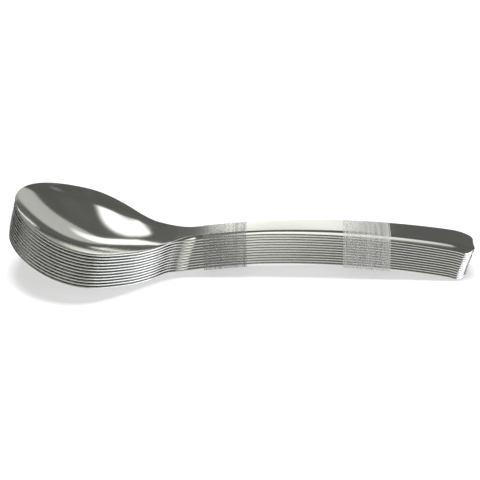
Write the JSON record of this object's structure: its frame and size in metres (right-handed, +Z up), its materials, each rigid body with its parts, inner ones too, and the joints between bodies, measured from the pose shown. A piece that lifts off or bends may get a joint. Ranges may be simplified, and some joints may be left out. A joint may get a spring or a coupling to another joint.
{
  "type": "soup spoon bundle",
  "caption": "Bundle of nested stamped steel soup spoons with wide raised bowls and arched channel handles, bound around the handles by bands of clear tape.",
  "frame": {"origin": "middle of the bundle's length and width, on the table that the lowest spoon stands on", "axes": "+X towards the handle ends, -X towards the bowl tips, +Z up"},
  "size_m": [0.1524, 0.0444, 0.0288],
  "materials": {
    "polished_steel": "polished stainless steel with fine polishing lines",
    "clear_tape": "clear glossy film, slightly hazy where it is wound over itself"
  },
  "bodies": {
    "root": {"spoon_01": "polished_steel", "spoon_02": "polished_steel", "spoon_03": "polished_steel", "spoon_04": "polished_steel", "spoon_05": "polished_steel", "spoon_06": "polished_steel", "spoon_07": "polished_steel", "spoon_08": "polished_steel", "spoon_09": "polished_steel", "spoon_10": "polished_steel", "spoon_11": "polished_steel", "spoon_12": "polished_steel", "neck_tape_band": "clear_tape", "end_tape_band": "clear_tape"}
  },
  "joints": []
}
